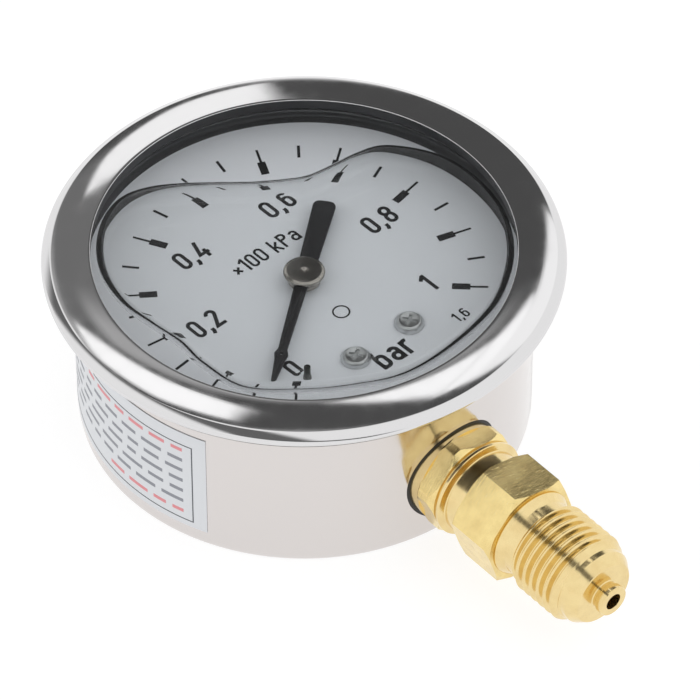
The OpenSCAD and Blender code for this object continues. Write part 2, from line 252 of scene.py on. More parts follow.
class Shader:
    """A Principled material whose textures are measured in millimetres."""

    def __init__(self, name, colour, roughness, metallic=0.0, **sockets):
        self.material = bpy.data.materials.new(name)
        self.material.use_nodes = True
        self.tree = self.material.node_tree
        self.bsdf = self.tree.nodes["Principled BSDF"]
        self.set("Base Color", (*colour, 1))
        self.set("Roughness", roughness)
        self.set("Metallic", metallic)
        for socket, value in sockets.items():
            self.set(socket.replace("_", " "), value)
        self.colour, self.roughness = colour, roughness

    def set(self, socket, value):
        self.bsdf.inputs[socket].default_value = value

    def node(self, kind, inputs=(), **settings):
        made = self.tree.nodes.new(kind)
        for key, value in settings.items():
            setattr(made, key, value)
        for key, value in dict(inputs).items():
            if isinstance(value, bpy.types.NodeSocket):
                self.tree.links.new(value, made.inputs[key])
            else:
                made.inputs[key].default_value = value
        return made

    def place(self, stretch=(1, 1, 1), around=None):
        """Coordinates in millimetres, or (arc length, radius, height) about an axis."""
        raw = self.node("ShaderNodeTexCoord").outputs["Object"]
        scaled = self.node(
            "ShaderNodeVectorMath", {0: raw, 1: (1 / MM,) * 3}, operation="MULTIPLY"
        )
        out = scaled.outputs[0]
        if around:
            u, v, w = self.node("ShaderNodeSeparateXYZ", {0: out}).outputs
            if around == "stem":
                above = self.node("ShaderNodeMath", {0: w, 1: STEM_Z}, operation="SUBTRACT")
                v, w = above.outputs[0], v
            angle = self.node("ShaderNodeMath", {0: v, 1: u}, operation="ARCTAN2").outputs[0]
            flat = self.node("ShaderNodeCombineXYZ", {0: u, 1: v}).outputs[0]
            radius = self.node("ShaderNodeVectorMath", {0: flat}, operation="LENGTH")
            arc = self.node("ShaderNodeMath", {0: angle, 1: ARC_R}, operation="MULTIPLY")
            round_axis = {0: arc.outputs[0], 1: radius.outputs["Value"], 2: w}
            out = self.node("ShaderNodeCombineXYZ", round_axis).outputs[0]
        stretched = self.node("ShaderNodeVectorMath", {0: out, 1: stretch}, operation="MULTIPLY")
        return stretched.outputs[0]

    def noise(self, where, detail=3.0):
        inputs = {"Vector": where, "Scale": 1.0, "Detail": detail, "Roughness": 0.55}
        return self.node("ShaderNodeTexNoise", inputs).outputs["Fac"]

    def remap(self, socket, low, high, to_low, to_high):
        inputs = {"Value": socket, "From Min": low, "From Max": high}
        inputs.update({"To Min": to_low, "To Max": to_high})
        return self.node("ShaderNodeMapRange", inputs).outputs["Result"]

    def vary_roughness(self, socket, amount):
        """Roughness swings by an amount either way as the texture goes from 0.3 to 0.7."""
        out = self.remap(socket, 0.3, 0.7, self.roughness - amount, self.roughness + amount)
        self.tree.links.new(out, self.bsdf.inputs["Roughness"])

    def vary_colour(self, socket, other):
        """Colour goes over to the other one as the texture goes from 0.35 to 0.7."""
        share = self.remap(socket, 0.35, 0.7, 0, 1)
        colours = {"Factor": share, "A": (*self.colour, 1), "B": (*other, 1)}
        mix = self.node("ShaderNodeMix", colours, data_type="RGBA")
        self.tree.links.new(mix.outputs["Result"], self.bsdf.inputs["Base Color"])

    def bump(self, socket, height):
        """Bump of that height in millimetres."""
        inputs = {"Height": socket, "Distance": height * MM, "Strength": 1.0}
        made = self.node("ShaderNodeBump", inputs)
        self.tree.links.new(made.outputs["Normal"], self.bsdf.inputs["Normal"])


def steel(name, colour, roughness, stretch, around="dial", bump=0.002, swing=0.03):
    """Steel with turning marks about the axis that it is turned around."""
    shader = Shader(name, colour, roughness, metallic=1.0)
    grain = shader.noise(shader.place(stretch, around))
    shader.vary_roughness(shader.noise(shader.place((0.35, 0.35, 0.35)), detail=4), swing)
    shader.bump(grain, bump)
    return shader.material


def brass(name, colour, dark, roughness, stretch, around="stem", bump=0.004):
    """Copper alloy that is darker in patches, with a machined grain."""
    shader = Shader(name, colour, roughness, metallic=1.0)
    grain = shader.noise(shader.place(stretch, around), detail=4)
    shader.vary_colour(shader.noise(shader.place((0.5, 0.5, 0.5)), detail=4), dark)
    shader.vary_roughness(grain, 0.06)
    shader.bump(grain, bump)
    return shader.material


def plain(name, colour, roughness, grain, bump, specular=0.5):
    """Paint, print, film or rubber with an even fine grain."""
    shader = Shader(name, colour, roughness, Specular_IOR_Level=specular)
    texture = shader.noise(shader.place((grain, grain, grain)))
    shader.vary_roughness(texture, 0.06)
    shader.bump(texture, bump)
    return shader.material


BEZEL_STEEL = steel("bezel_steel", (0.7, 0.695, 0.7), 0.07, (0.15, 5, 5), bump=0.0008, swing=0.02)
# near-black steel: painted shade and painted dark reflection for the bezel's lip wall, its seam
# groove and its foot
PAINTED_SHADE_STEEL = steel("bezel_painted_shade_steel", (0.07, 0.07, 0.072), 0.35, (0.15, 5, 5), bump=0.0012)
CASE_STEEL = steel("case_steel", (0.69, 0.655, 0.64), 0.13, (0.12, 3, 9), bump=0.001, swing=0.04)
HUB_STEEL = steel("hub_steel", (0.36, 0.34, 0.31), 0.09, (0.4, 9, 9), bump=0.004)
SCREW_STEEL = steel("screw_steel", (0.6, 0.61, 0.61), 0.3, (5, 5, 5), None, 0.01)
PIN_STEEL = steel("pin_steel", (0.06, 0.063, 0.055), 0.15, (5, 5, 5), None, 0.004)

TURNED, TURNED_DARK = (0.84, 0.67, 0.34), (0.78, 0.6, 0.29)
FLAT, FLAT_DARK = (0.89, 0.71, 0.32), (0.78, 0.6, 0.26)
BRASS, BRASS_DARK = (0.74, 0.56, 0.27), (0.66, 0.48, 0.22)
BRONZE, BRONZE_DARK = (0.72, 0.45, 0.26), (0.62, 0.4, 0.24)
STEM_TURNED = brass("stem_brass_turned", TURNED, TURNED_DARK, 0.16, (0.1, 2, 12), bump=0.002)
STEM_FLAT = brass("stem_brass_flat", FLAT, FLAT_DARK, 0.22, (0.6, 5, 0.6), None, 0.02)
MOVEMENT_BRASS = brass("movement_brass", BRASS, BRASS_DARK, 0.3, (9, 0.6, 3), None)
TUBE_BRONZE = brass("tube_bronze", BRONZE, BRONZE_DARK, 0.3, (0.3, 3, 5), "dial")

RUBBER = plain("black_rubber", (0.012, 0.012, 0.013), 0.5, 6, 0.01)
GASKET_RUBBER = plain("gasket_rubber", (0.006, 0.006, 0.006), 0.45, 6, 0.01, specular=0.25)
DIAL_PAINT = plain("dial_paint", (0.74, 0.77, 0.81), 0.55, 14, 0.002)
PRINT_BLACK = plain("print_black", (0.006, 0.006, 0.008), 0.6, 10, 0.001, specular=0.1)
POINTER_BLACK = plain("pointer_black", (0.006, 0.006, 0.008), 0.4, 7, 0.003, specular=0.3)
LABEL_FILM = plain("label_film", (0.66, 0.675, 0.7), 0.35, 5, 0.002)
LABEL_BORDER = plain("label_border", (0.05, 0.055, 0.07), 0.4, 9, 0.001)
LABEL_RED = plain("label_red", (0.7, 0.24, 0.26), 0.4, 9, 0.001)
LABEL_GREY = plain("label_grey", (0.24, 0.25, 0.28), 0.4, 9, 0.001)


def clear(name, index, colour=(1, 1, 1)):
    """Refracting glass that lets lamps and diffuse light straight through."""
    shader = Shader(name, colour, 0.0, IOR=index, Transmission_Weight=1.0)
    path = shader.node("ShaderNodeLightPath").outputs
    lamp_side = shader.node(
        "ShaderNodeMath",
        {0: path["Is Shadow Ray"], 1: path["Is Diffuse Ray"]},
        operation="MAXIMUM",
    )
    straight = shader.node("ShaderNodeBsdfTransparent")
    mix = shader.node("ShaderNodeMixShader", {0: lamp_side.outputs[0]})
    shader.tree.links.new(shader.bsdf.outputs[0], mix.inputs[1])
    shader.tree.links.new(straight.outputs[0], mix.inputs[2])
    output = shader.tree.nodes["Material Output"]
    shader.tree.links.new(mix.outputs[0], output.inputs["Surface"])
    return shader.material


WINDOW_GLASS = clear("window_glass", 1.5)
LIQUID = clear("liquid", 1.46, (0.99, 1, 1))

# ------------------------------------------------------------ case and bezel
CLEAR = 0.02  # gap that keeps one piece's surface off the next
FLANGE_Z = WINDOW_TOP - 1.2
FACE_START_R = OPENING_R + 0.3
FACE_END_R = BEZEL_R - 1.25
FACE_TILT = (math.radians(4), math.radians(12))
FACE_STEPS = 24
SEAM_Z = bezel_low.z + 0.72
SEAM_R = 34.88
FOOT_R = 34.3


def face_point(share):
    """A point of the bezel's front face, whose tilt grows steadily outwards."""
    reach = (FACE_END_R - FACE_START_R) * share
    drop = reach * math.tan(FACE_TILT[0] + (FACE_TILT[1] - FACE_TILT[0]) * share / 2)
    return FACE_START_R + reach, DEPTH - drop, 0


bezel = lathe(
    "bezel",
    rounded(
        [
            (OPENING_R, WINDOW_TOP + CLEAR, 0.05),
            (OPENING_R, DEPTH, 0.07),
        ]
        + [face_point(k / FACE_STEPS) for k in range(FACE_STEPS)]
        + [
            (*face_point(1)[:2], 0.22),
            (BEZEL_R - 0.12, DEPTH - 1.45, 0.7),
            (BEZEL_R, DEPTH - 2.0, 0.6),
            (SEAM_R + 0.14, SEAM_Z + 0.13, 0),
            (SEAM_R + 0.02, SEAM_Z + 0.1, 0),
            (SEAM_R, SEAM_Z, 0),
            (SEAM_R + 0.09, SEAM_Z - 0.02, 0),
            (FOOT_R, bezel_low.z, 0.3),
            (CASE_R + 0.4, bezel_low.z, 0.1),
            (CASE_R + 0.4, FLANGE_Z - CLEAR, 0),
            (FLANGE_R + CLEAR, FLANGE_Z - CLEAR, 0),
            (FLANGE_R + CLEAR, WINDOW_TOP, 0),
            (CASE_R, WINDOW_TOP, 0),
            (CASE_R, WINDOW_TOP + CLEAR, 0),
        ]
    ),
    steps=360,
)
for face in bezel.data.polygons:
    # painted shade: the lip's wall, the seam groove and the foot get the near-black steel, which
    # stands in for the shade and dark reflections on them
    x, y, z = face.center / MM
    radius = math.hypot(x, y)
    shaded_lip_wall = radius < OPENING_R + 0.02 and z < DEPTH - 0.13
    shaded_seam = radius < SEAM_R + 0.12 and abs(z - SEAM_Z - 0.05) < 0.08
    shaded_foot = radius > CASE_R + 0.5 and z < bezel_low.z + 0.1
    face.material_index = int(shaded_lip_wall or shaded_seam or shaded_foot)
dress(bezel, [BEZEL_STEEL, PAINTED_SHADE_STEEL], stands_for=["bezel_ring"])

CASE_FLOOR = 1.0
case = lathe(
    "case_cup",
    rounded(
        [
            (0, 0, 0),
            (CASE_R, 0, 1.5),
            (CASE_R, FLANGE_Z, 0.3),
            (FLANGE_R, FLANGE_Z, 0.1),
            (FLANGE_R, FLANGE_Z + CASE_WALL, 0.1),
            (CASE_R - CASE_WALL, FLANGE_Z + CASE_WALL, 0.3),
            (CASE_R - CASE_WALL, CASE_FLOOR, 1.0),
            (0, CASE_FLOOR, 0),
        ]
    ),
    steps=360,
    closed=False,
)


def rod(name, radius, low, high, steps):
    """A round bar about Z, to cut a hole with."""
    return lathe(name, [(0, low), (radius, low), (radius, high), (0, high)], steps, closed=False)


STEM_HOLE_R, PLUG_HOLE_R = 7.75, 4
HOLE_IN, HOLE_OUT = 28, 33  # both holes' cutters run through the wall between these
stem_hole = onto_stem(rod("stem_hole", STEM_HOLE_R, HOLE_IN, HOLE_OUT, 96))
plug_hole = onto_stem(rod("plug_hole", PLUG_HOLE_R, -HOLE_OUT, -HOLE_IN, 64))
cut(case, stem_hole, plug_hole)
case.data.set_sharp_from_angle(angle=math.radians(35))
dress(case, [CASE_STEEL], stands_for=["case"])

gasket = lathe(
    "window_gasket_ring",
    rounded(
        [
            (GASKET_R, DIAL_Z + CLEAR, 0.15),
            (GASKET_R, WINDOW_LOW - CLEAR, 0.15),
            (WINDOW_R, WINDOW_LOW - CLEAR, 0.05),
            (WINDOW_R, DIAL_Z + CLEAR, 0.05),
        ]
    ),
)
dress(gasket, [GASKET_RUBBER], stands_for=["window_gasket"])

# ------------------------------------------------------------- dial printing
PRINT_LOW = DIAL_Z + 0.004
PRINT_HIGH = DIAL_Z + 0.014


def on_dial(x, y, turn=DIAL_TURN):
    """A place on the upright dial, turned with the dial."""
    return x * math.cos(turn) - y * math.sin(turn), x * math.sin(turn) + y * math.cos(turn)


def add_bar(builder, inner, outer, width, angle):
    """A radial bar of the scale, as a thin raised block."""
    corners = [(inner, -width / 2), (outer, -width / 2), (outer, width / 2), (inner, width / 2)]
    rows = []
    for z in (PRINT_LOW, PRINT_HIGH):
        rows.append([(*on_dial(x, y, angle + DIAL_TURN), z) for x, y in corners])
    verts = add_grid(builder, rows)
    builder.faces.new(verts[0])
    builder.faces.new(verts[1])


DIVISIONS = 20
SCALE_R = 25.0
MINOR_IN_R, MINOR_WIDTH = 22.6, 0.42
LINE_IN_R, LINE_WIDTH = 22.4, 0.36
BLOCK_IN_R, BLOCK_OUT_R, BLOCK_WIDTH = 20.0, 22.5, 1.15
marks = bmesh.new()
for step in range(DIVISIONS + 1):
    angle = SCALE_START - SCALE_SWEEP * step / DIVISIONS
    if step % 2:
        add_bar(marks, MINOR_IN_R, SCALE_R, MINOR_WIDTH, angle)
    else:
        add_bar(marks, BLOCK_IN_R, BLOCK_OUT_R, BLOCK_WIDTH, angle)
        add_bar(marks, LINE_IN_R, SCALE_R, LINE_WIDTH, angle)
scale_marks = finish_mesh("scale_marks", marks)
dress(scale_marks, [PRINT_BLACK])


def arc_path(cx, cy, radius, start, end, steps=10):
    """Points of an arc, angles in degrees."""
    angles = [math.radians(start + (end - start) * k / steps) for k in range(steps + 1)]
    return [(cx + radius * math.cos(a), cy + radius * math.sin(a)) for a in angles]


def strokes_of(character, bold):
    """Width and centre lines of a character one unit high. The last flag closes a line."""
    left, right, low, high = bold / 2, 0.5 - bold / 2, bold / 2, 1 - bold / 2
    middle, bend = 0.25, 0.25 - bold / 2

    def oval(bottom, top):
        upper = arc_path(middle, top - bend, bend, 0, 180)
        lower = arc_path(middle, bottom + bend, bend, 180, 360)
        return upper + lower, True

    if character == "0":
        return 0.5, [oval(low, high)]
    if character == "1":
        return 0.34, [([(0.26, 0), (0.26, 1)], False), ([(0.03, 0.74), (0.26, 0.95)], False)]
    if character == "2":
        hook = arc_path(middle, high - bend, bend, 175, -35)
        return 0.5, [(hook + [(left, low), (0.5, low)], False)]
    if character == "4":
        corner = [(0.32, 1.0), (0.07, 0.27), (0.52, 0.27)]
        return 0.5, [(corner, False), ([(0.37, 0.47), (0.37, 0)], False)]
    if character == "6":
        back = [(left, 0.35)] + arc_path(middle, high - bend, bend, 180, 25)
        return 0.5, [oval(low, 0.62), (back, False)]
    if character == "8":
        return 0.5, [oval(low, 0.53), oval(0.53, high)]
    if character == ",":
        return 0.2, [([(0.12, 0.15), (0.12, 0.0), (0.05, -0.15)], False)]
    if character == "b":
        return 0.5, [([(left, 0), (left, 1)], False), oval(low, 0.7)]
    if character == "a":
        back = [(right, 0)] + arc_path(middle, 0.7 - bend, bend, 0, 150)
        return 0.5, [oval(low, 0.44), (back, False)]
    if character == "r":
        shoulder = arc_path(left + bend, 0.7 - bend, bend, 180, 60)
        return 0.42, [([(left, 0), (left, 0.76)], False), (shoulder, False)]
    if character == "k":
        arms = [([(0.44, 0.7), (left, 0.27)], False), ([(0.19, 0.42), (0.46, 0)], False)]
        return 0.5, [([(left, 0), (left, 1)], False)] + arms
    if character == "P":
        bowl = arc_path(middle, high - bend, bend, 90, -90)
        bowl = [(left, high)] + bowl + [(left, high - 2 * bend)]
        return 0.5, [([(left, 0), (left, 1)], False), (bowl, False)]
    if character == "×":
        return 0.42, [([(0.04, 0.2), (0.38, 0.6)], False), ([(0.04, 0.6), (0.38, 0.2)], False)]
    return 0.22, []


def add_stroke(builder, points, closed, half):
    """A thin raised ribbon along a line, in millimetres."""
    count = len(points)
    sections = []
    for i, (x, y) in enumerate(points):
        before = points[i - 1] if closed or i else points[i]
        after = points[(i + 1) % count] if closed or i < count - 1 else points[i]
        into = Vector((x - before[0], y - before[1]))
        out = Vector((after[0] - x, after[1] - y))
        into = into.normalized() if into.length > 1e-6 else out.normalized()
        out = out.normalized() if out.length > 1e-6 else into
        across = Vector((-(into + out).y, (into + out).x)).normalized()
        across *= half / max(0.5, across.dot(Vector((-into.y, into.x))))
        corners = [(-1, PRINT_LOW), (-1, PRINT_HIGH), (1, PRINT_HIGH), (1, PRINT_LOW)]
        sections.append([(x + across.x * side, y + across.y * side, z) for side, z in corners])
    verts = add_grid(builder, sections, wrap_v=closed)
    if not closed:
        builder.faces.new(verts[0])
        builder.faces.new(verts[-1])


LETTER_GAP = 0.11  # as a share of the height


def lettering(name, rows):
    """Printed characters: each row is (text, x, y, height, share of it taken by a stroke)."""
    builder = bmesh.new()
    for text, x, y, height, bold in rows:
        glyphs = [strokes_of(character, bold) for character in text]
        along_row = -(sum(width for width, _ in glyphs) + LETTER_GAP * (len(glyphs) - 1)) / 2
        for width, lines in glyphs:
            for points, closed in lines:
                placed = [
                    on_dial(x + (along_row + u) * height, y + (v - 0.5) * height)
                    for u, v in points
                ]
                add_stroke(builder, placed, closed, bold * height / 2)
            along_row += width + LETTER_GAP
    return finish_mesh(name, builder)


FIGURE = (3.5, 0.158)  # height and boldness of the scale's figures
numerals = lettering(
    "dial_numerals",
    [
        ("0", -12.2, -11.2, *FIGURE),
        ("0,2", -15.2, 3.1, *FIGURE),
        ("0,4", -7.9, 14.2, *FIGURE),
        ("0,6", 7.5, 13.7, *FIGURE),
        ("0,8", 15.7, 2.0, *FIGURE),
        ("1", 12.1, -11.5, *FIGURE),
        ("bar", -0.3, -18.0, 3.8, 0.165),
        ("×100 kPa", 0, 7.9, 2.7, 0.14),
        ("1,6", 11.2, -19.0, 1.9, 0.15),
    ],
)
dress(numerals, [PRINT_BLACK])

RING_MARK_IN, RING_MARK_OUT = 1.0, 1.25
RING_MARK_PLACE = (-0.2, -7.6)
ring_section = [
    (RING_MARK_IN, PRINT_LOW),
    (RING_MARK_IN, PRINT_HIGH),
    (RING_MARK_OUT, PRINT_HIGH),
    (RING_MARK_OUT, PRINT_LOW),
]
ring_mark = lathe("dial_ring_mark", ring_section, 48)
ring_mark.data.transform(Matrix.Translation(Vector((*on_dial(*RING_MARK_PLACE), 0)) * MM))
dress(ring_mark, [PRINT_BLACK])

# -------------------------------------------------------------- pointer, hub
POINTER_LEN = 21.3
TAIL_LEN = 14.6
KNUCKLE_R = 15.4
ARBOR_R = 0.61
SIGHT_R = 0.27
POINTER_CHAMFER = 0.1
half_pointer = [
    (2.0, -0.92, 0),
    (KNUCKLE_R - 1.0, -0.62, 0.3),
    (KNUCKLE_R, -0.98, 0.4),
    (KNUCKLE_R + 1.0, -0.72, 0.3),
    (POINTER_LEN - 0.3, -0.28, 0.2),
    (POINTER_LEN, 0, 0.1),
]
half_tail = [(-TAIL_LEN, -1.62, 1.0), (0, -1.2, 0)]
lower_side = half_tail + half_pointer
pointer_outline = rounded(lower_side + [(x, -y, r) for x, y, r in lower_side[-2::-1]])
pointer = plate(
    "pointer_blade", pointer_outline, pointer_low.z, pointer_high.z, POINTER_CHAMFER
)
arbor_hole = rod("arbor_hole", ARBOR_R, pointer_low.z - 1, pointer_high.z + 1, 32)
sight_hole = rod("sight_hole", SIGHT_R, pointer_low.z - 1, pointer_high.z + 1, 24)
sight_hole.data.transform(Matrix.Translation((KNUCKLE_R * MM, 0, 0)))
cut(pointer, arbor_hole, sight_hole)
pointer.data.transform(Matrix.Rotation(POINTER_ANGLE, 4, "Z"))
dress(pointer, [POINTER_BLACK], "pointer_shaft", ["pointer"])

HUB_R = 2.85
HUB_FOOT_R = 1.9
BUSH_R = 2.25
hub = lathe(
    "hub_cap",
    rounded(
        [
            (ARBOR_R, HUB_TOP - 0.4, 0),
            (ARBOR_R, pointer_high.z + 0.01, 0),
            (HUB_FOOT_R, pointer_high.z + 0.01, 0),
            (HUB_FOOT_R, pointer_high.z + 0.12, 0.05),
            (HUB_R, pointer_high.z + 0.2, 0.15),
            (HUB_R, HUB_TOP - 0.22, 0.25),
            (2.4, HUB_TOP - 0.02, 0.2),
            (0.5, HUB_TOP, 0.12),
            (0.2, HUB_TOP - 0.35, 0.05),
            (0, HUB_TOP - 0.38, 0),
        ],
        closed=False,
    ),
    96,
    closed=False,
)
dress(hub, [HUB_STEEL], "pointer_shaft", ["pointer_hub"])
bush = lathe(
    "pointer_bush",
    rounded(
        [
            (ARBOR_R + 0.01, pointer_low.z - 0.01, 0),
            (BUSH_R, pointer_low.z - 0.01, 0.08),
            (BUSH_R, DIAL_Z + 0.35, 0.15),
            (ARBOR_R + 0.01, DIAL_Z + 0.35, 0),
        ]
    ),
    96,
)
dress(bush, [HUB_STEEL], "pointer_shaft")

# ------------------------------------------------------------------- stem
# stations along the stem, from the dial's centre outwards
STEM_IN_Y = 28.0
SEAL_Y = 32.0
COLLAR_Y = 35.0
NECK_Y = 36.0
HEX_Y = 39.1
HEX_END_Y = 46.4
THREAD_Y = 49.2
PITCH = 1.337
THREAD_TURNS = 7
THREAD_END_Y = THREAD_Y + THREAD_TURNS * PITCH
FACE_Y = 60.8
TIP_Y = -extent("socket")[0].y
PORT_DEPTH = 12

BARREL_R = 7.3
NECK_R = 6.3
COLLAR_R = 7.75
HEX_AF = 14.0
HEX_TURN = math.radians(-11.9)
HEX_FACE_R = 7.25
THREAD_R = 6.5785
ROOT_R = 5.72
NOSE_R = 5.6
SPIGOT_R = 2.25
SPIGOT_NECK_R = 2.0
PORT_R = 1.2


def hexagon_radius(angle):
    """Distance from the axis to the hexagon's wall at an angle."""
    sixth = math.pi / 3
    return HEX_AF / 2 / math.cos((angle - HEX_TURN) % sixth - sixth / 2)


def stem_hexagon(name, envelope):
    """Hexagon whose corners are turned down to the envelope, a list of (y, radius)."""
    ys, radii = zip(*envelope)
    stations = sorted(set(list(np.arange(ys[0], ys[-1], 0.07)) + list(ys)))
    angles = [HEX_TURN + 2 * math.pi * k / 360 for k in range(360)]
    builder = bmesh.new()
    rows = []
    for y in stations:
        limit = float(np.interp(y, ys, radii))
        rows.append([(*polar(min(hexagon_radius(a), limit), a), y) for a in angles])
    verts = add_grid(builder, rows)
    builder.faces.new(verts[0])
    builder.faces.new(verts[-1])
    return finish_mesh(name, builder, 22)


RUN_IN = 0.7
RUN_OUT, RUN_OUT_SLOPE = 1.3, 0.75
CREST_SHARPNESS = 1.15


def thread(name):
    """Helical right-hand thread with rounded crests that fades out at both ends."""
    around, per_turn = 180, 22
    stations = [
        THREAD_Y - 0.1 + PITCH * k / per_turn for k in range(THREAD_TURNS * per_turn + 3)
    ]
    builder = bmesh.new()
    rows = []
    for y in stations:
        row = []
        for k in range(around):
            angle = 2 * math.pi * k / around
            phase = (y / PITCH + k / around) % 1.0
            ridge = (0.5 - 0.5 * math.cos(2 * math.pi * phase)) ** CREST_SHARPNESS
            rise = min(1.0, max(0.0, (y - THREAD_Y) / RUN_IN))
            limit = THREAD_R - max(0.0, y - (THREAD_END_Y - RUN_OUT)) * RUN_OUT_SLOPE
            radius = ROOT_R + (THREAD_R - ROOT_R) * ridge * rise
            row.append((*polar(min(radius, limit), angle), y))
        rows.append(row)
    add_grid(builder, rows)
    return finish_mesh(name, builder, 60)


barrel = lathe(
    "stem_barrel",
    rounded(
        [
            (NECK_R - 0.1, STEM_IN_Y, 0),
            (BARREL_R, STEM_IN_Y, 0.1),
            (BARREL_R, SEAL_Y + 0.1, 0),
            (BARREL_R - 0.3, SEAL_Y + 0.1, 0),
            (BARREL_R - 0.3, COLLAR_Y, 0),
            (NECK_R + 0.2, COLLAR_Y + 0.15, 0.1),
            (BARREL_R - 0.05, COLLAR_Y + 0.5, 0.15),
            (BARREL_R - 0.05, NECK_Y, 0.15),
            (NECK_R, NECK_Y + 0.3, 0.2),
            (NECK_R, HEX_Y + 0.1, 0),
            (NECK_R, HEX_END_Y - 0.1, 0),
            (NECK_R + 0.25, HEX_END_Y + 0.15, 0.15),
            (ROOT_R + 0.03, HEX_END_Y + 1.3, 0.5),
            (ROOT_R - 0.02, THREAD_Y - 0.1, 0),
        ],
        closed=False,
    ),
    144,
    closed=False,
)
nose = lathe(
    "stem_nose",
    rounded(
        [
            (NOSE_R, THREAD_END_Y + 0.02, 0),
            (NOSE_R, FACE_Y - 1.4, 0.3),
            (NOSE_R - 1, FACE_Y, 0.3),
            (SPIGOT_NECK_R, FACE_Y, 0.2),
            (SPIGOT_NECK_R, FACE_Y + 0.5, 0.2),
            (SPIGOT_R, FACE_Y + 0.9, 0.15),
            (SPIGOT_R, TIP_Y, 0.2),
            (PORT_R, TIP_Y, 0.1),
            (PORT_R, TIP_Y - PORT_DEPTH, 0),
            (0, TIP_Y - PORT_DEPTH, 0),
        ],
        closed=False,
    ),
    144,
    closed=False,
)
collar_hexagon = stem_hexagon(
    "stem_collar",
    [
        (SEAL_Y, COLLAR_R - 0.3),
        (SEAL_Y + 0.35, COLLAR_R),
        (COLLAR_Y - 0.7, COLLAR_R),
        (COLLAR_Y, COLLAR_R - 0.65),
    ],
)
wrench_hexagon = stem_hexagon(
    "stem_wrench_hexagon",
    [
        (HEX_Y, HEX_FACE_R),
        (HEX_Y + 0.55, 8.2),
        (HEX_END_Y - 0.55, 8.2),
        (HEX_END_Y, HEX_FACE_R),
    ],
)
helix = thread("stem_thread")
for part in (barrel, nose, collar_hexagon, wrench_hexagon, helix):
    onto_stem(part)
stem = join("brass_stem", [barrel, nose, helix, collar_hexagon, wrench_hexagon])
dress(
    stem,
    [STEM_TURNED, STEM_TURNED, STEM_TURNED, STEM_FLAT, STEM_FLAT],
    stands_for=["socket"],
)

SEAL_IN, SEAL_OUT = 7.32, 7.7
SEAL_PROUD = 0.03
SEAL_DEPTH = 1.5


def stem_seal():
    """Ring round the stem whose outer end follows the curve of the case wall."""
    builder = bmesh.new()
    around = [2 * math.pi * k / 144 for k in range(144)]
    rows = []
    for radius, inside in ((SEAL_IN, True), (SEAL_OUT, True), (SEAL_OUT, False), (SEAL_IN, False)):
        row = []
        for a in around:
            x, z = polar(radius, a)
            reach = math.sqrt((CASE_R + SEAL_PROUD) ** 2 - x * x)
            row.append((x, z, reach - (SEAL_DEPTH if inside else 0.0)))
        rows.append(row)
    add_grid(builder, rows, wrap_v=True)
    return finish_mesh("stem_seal", builder)


seal = onto_stem(stem_seal())
dress(seal, [RUBBER], stands_for=["socket_seal"])

# -------------------------------------------------------------- side label
LABEL_START = math.radians(117)
LABEL_SWEEP = math.radians(88)
LABEL_IN, LABEL_OUT = CASE_R + 0.02, CASE_R + 0.1


def label_patch(builder, a0, a1, z0, z1, proud):
    """A curved patch on the case wall, standing proud of the label's film."""
    inner, outer = LABEL_IN, LABEL_OUT + proud
    steps = max(2, round(math.degrees(abs(a1 - a0)) / 1.5))
    outline = [(inner, z0), (outer, z0), (outer, z1), (inner, z1)]
    verts = turned(builder, outline, steps, a0, a1 - a0)
    for end in (0, -1):
        builder.faces.new([row[end] for row in verts])


film = bmesh.new()
label_patch(film, LABEL_START, LABEL_START + LABEL_SWEEP, label_low.z, label_high.z, 0.0)
label = finish_mesh("label_sheet", film)
dress(label, [LABEL_FILM], stands_for=["side_label"])

BORDER_SIDE = math.radians(201.3)
BORDER_FAR = math.radians(121)
BORDER_LOW, BORDER_HIGH = 4.1, 18.5
BORDER_WIDTH = 0.16
BORDER_PROUD = 0.02
edges = bmesh.new()
for z in (BORDER_LOW, BORDER_HIGH - BORDER_WIDTH):
    label_patch(edges, BORDER_FAR, BORDER_SIDE, z, z + BORDER_WIDTH, BORDER_PROUD)
for a in (BORDER_FAR, BORDER_SIDE):
    label_patch(edges, a - BORDER_WIDTH / CASE_R, a, BORDER_LOW, BORDER_HIGH, BORDER_PROUD)
border = finish_mesh("label_border", edges)
dress(border, [LABEL_BORDER])

# the rows of bars; lengths along a row are angles, in radians
FIRST_ROW_Z, ROW_PITCH, ROW_HALF = BORDER_LOW + 1.6, 1.95, 0.3
ROW_MARGIN, SHORT_ROW_MARGIN = 0.06, 0.9
BAR_SHORTEST, BAR_LONGEST, BAR_GAP = 0.05, 0.13, 0.035
BAR_PROUD = 0.015


def label_rows(name, picks, seed):
    """Rows of short bars, where a printed label has its lines."""
    random = np.random.default_rng(seed)
    builder = bmesh.new()
    for row in picks:
        z = FIRST_ROW_Z + row * ROW_PITCH
        a = BORDER_SIDE - 0.05
        end = BORDER_FAR + (SHORT_ROW_MARGIN if row == 0 else ROW_MARGIN)
        while a > end:
            length = random.uniform(BAR_SHORTEST, BAR_LONGEST)
            label_patch(builder, max(a - length, end), a, z - ROW_HALF, z + ROW_HALF, BAR_PROUD)
            a -= length + BAR_GAP
    return finish_mesh(name, builder)


dress(label_rows("label_red_rows", [0, 6], 3), [LABEL_RED])
dress(label_rows("label_grey_rows", [1, 2, 3, 4, 5], 5), [LABEL_GREY])

